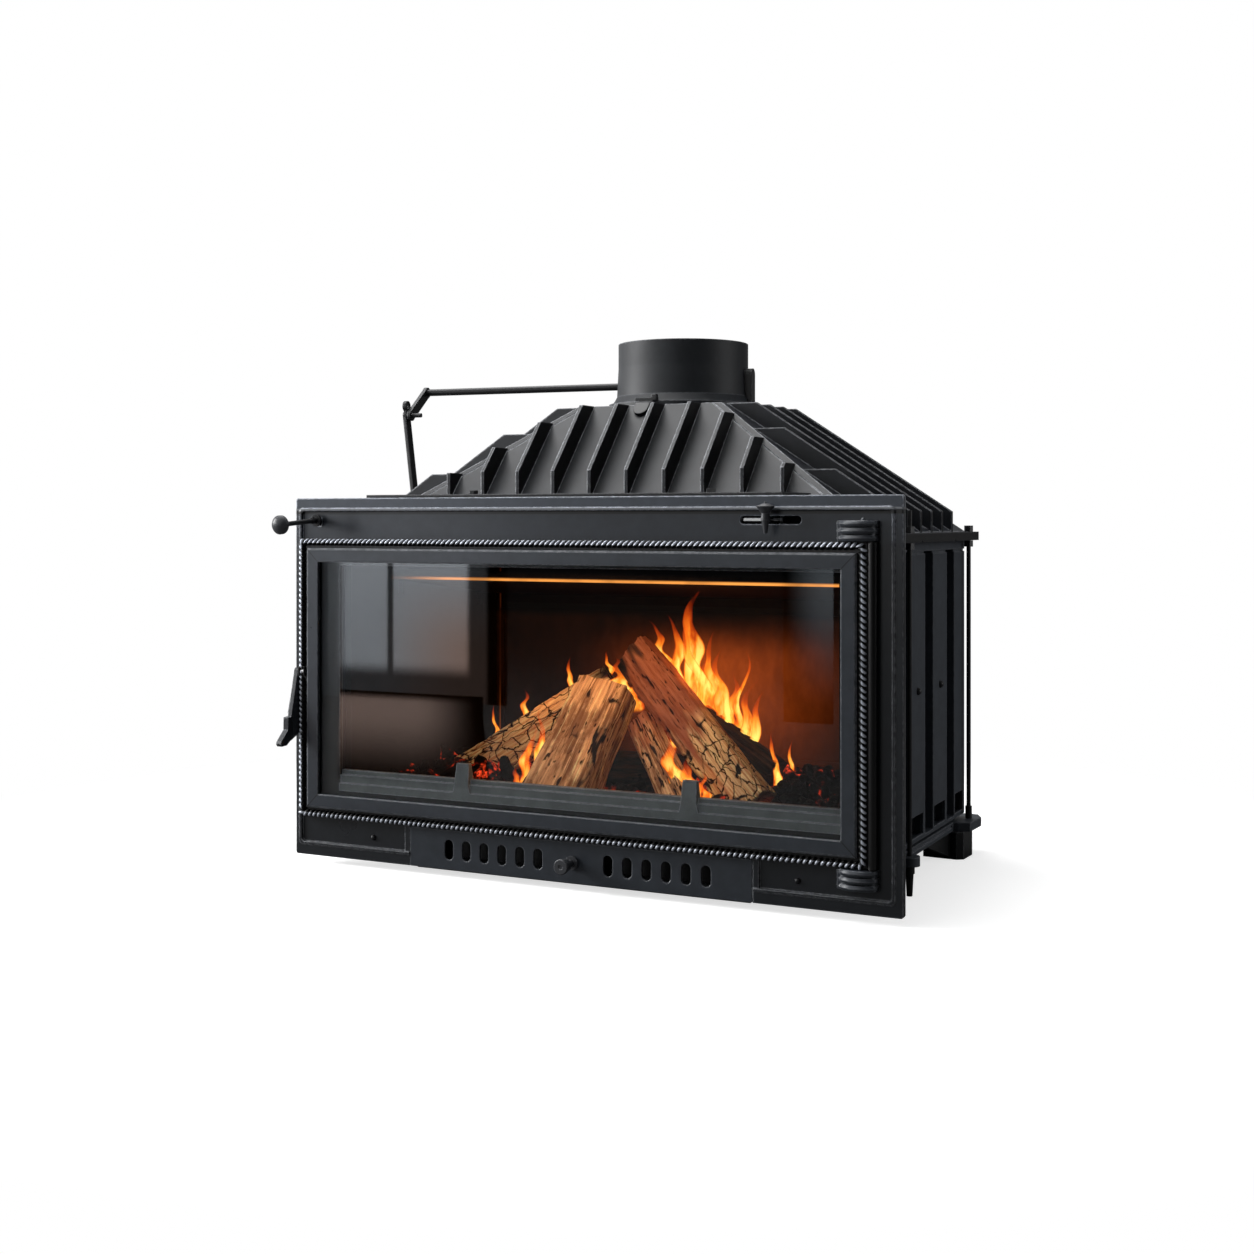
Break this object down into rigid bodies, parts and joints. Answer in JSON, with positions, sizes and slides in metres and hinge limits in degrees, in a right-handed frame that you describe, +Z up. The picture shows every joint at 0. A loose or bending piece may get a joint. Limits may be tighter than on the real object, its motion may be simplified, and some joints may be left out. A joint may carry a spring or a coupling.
{
  "type": "fireplace insert",
  "caption": "Cast iron wood fireplace insert with a wide glazed door, rope moulding, ribbed smoke hood, round flue collar with damper linkage, and a slotted ash drawer.",
  "frame": {"origin": "on the floor under the middle of the whole footprint, knobs included", "axes": "+Z up, -Y out of the front towards the person at the door, +X to that person's right (the hinge side)"},
  "size_m": [0.793, 0.5302, 0.665],
  "materials": {
    "cast_case": "matt dark grey stove paint on fine cast texture",
    "cast_hood": "matt grey cast iron",
    "cast_black": "matt black cast iron",
    "rope_paint": "satin black paint with bright worn tops",
    "steel_dark": "blackened steel",
    "steel_bright": "bare steel",
    "steel_sheet": "grey steel sheet",
    "knob": "satin dark grey",
    "seal_rope": "woven glass fibre",
    "window": "clear heat-resisting glass ceramic",
    "lining": "heat-browned cast iron"
  },
  "bodies": {
    "case": {"front_frame": "cast_case", "front_screws": "steel_dark", "side_panel_left": "cast_case", "side_panel_right": "cast_case", "side_screws": "steel_dark", "back_panel": "cast_case", "base_plate": "cast_case", "ash_well": "steel_sheet", "rear_feet": "cast_black", "front_feet": "steel_dark", "tie_rods": "steel_dark", "tie_rod_nuts": "steel_dark", "top_ledge": "cast_case", "deck_plate": "cast_black", "deck_bolts": "steel_dark", "hood_front": "cast_hood", "hood_rear": "cast_hood", "hood_left": "cast_hood", "hood_right": "cast_hood", "hood_top": "cast_hood", "flue_collar": "cast_case", "collar_clamps": "cast_black", "side_linings": "lining", "fireback": "lining", "baffle": "lining", "hearth_plate": "lining", "grate": "lining", "log_guard": "cast_case", "hinge_blocks": "cast_case", "hinge_pins": "steel_dark", "lever_bracket": "steel_dark", "slide_rails": "steel_dark"},
    "door": {"door_frame": "cast_case", "rope_moulding": "rope_paint", "window_glass": "window", "glass_clips": "steel_sheet", "door_seal": "seal_rope"},
    "handle": {"door_handle": "cast_black", "latch_finger": "steel_bright"},
    "damper": {"damper_shaft": "steel_dark", "damper_plate": "cast_black", "damper_crank": "cast_black"},
    "link": {"damper_link": "cast_black"},
    "lever": {"control_lever": "steel_dark", "ball_knob": "knob"},
    "air_slide": {"air_slide": "steel_bright", "air_slide_knob": "knob"},
    "drawer": {"drawer_front": "cast_case", "ash_pan": "steel_sheet"},
    "air_valve": {"air_knob": "knob", "air_valve_plate": "steel_sheet"}
  },
  "joints": [
    {"name": "door_hinge", "type": "hinge", "parent": "case", "child": "door", "pos_m": [0.3635, -0.18488, 0.2335], "axis": [0, 0, 1], "range_deg": [0, 105]},
    {"name": "handle_lift", "type": "hinge", "parent": "door", "child": "handle", "pos_m": [-0.3868, -0.18768, 0.241], "axis": [-1, 0, 0], "range_deg": [0, 30]},
    {"name": "damper_turn", "type": "hinge", "parent": "case", "child": "damper", "pos_m": [0, 0.13412, 0.612], "axis": [-0.9962, -0.0872, 0], "range_deg": [0, 60]},
    {"name": "link_swing", "type": "hinge", "parent": "damper", "child": "link", "pos_m": [-0.38677, 0.05378, 0.5771], "axis": [-0.9962, -0.0872, 0], "range_deg": [-60, 0]},
    {"name": "lever_press", "type": "hinge", "parent": "case", "child": "lever", "pos_m": [-0.363, -0.16588, 0.4326], "axis": [1, 0, 0], "range_deg": [0, 16]},
    {"name": "air_slide_travel", "type": "slide", "parent": "case", "child": "air_slide", "axis": [1, 0, 0], "range_m": [-0.03, 0.03]},
    {"name": "drawer_slide", "type": "slide", "parent": "case", "child": "drawer", "axis": [0, -1, 0], "range_m": [0, 0.28]},
    {"name": "air_valve_pull", "type": "slide", "parent": "drawer", "child": "air_valve", "axis": [0, -1, 0], "range_m": [0, 0.0105]}
  ],
  "couplings": [
    {"joint": "link_swing", "follows": "damper_turn", "ratio": -0.9851},
    {"joint": "lever_press", "follows": "damper_turn", "ratio": 0.2535}
  ]
}
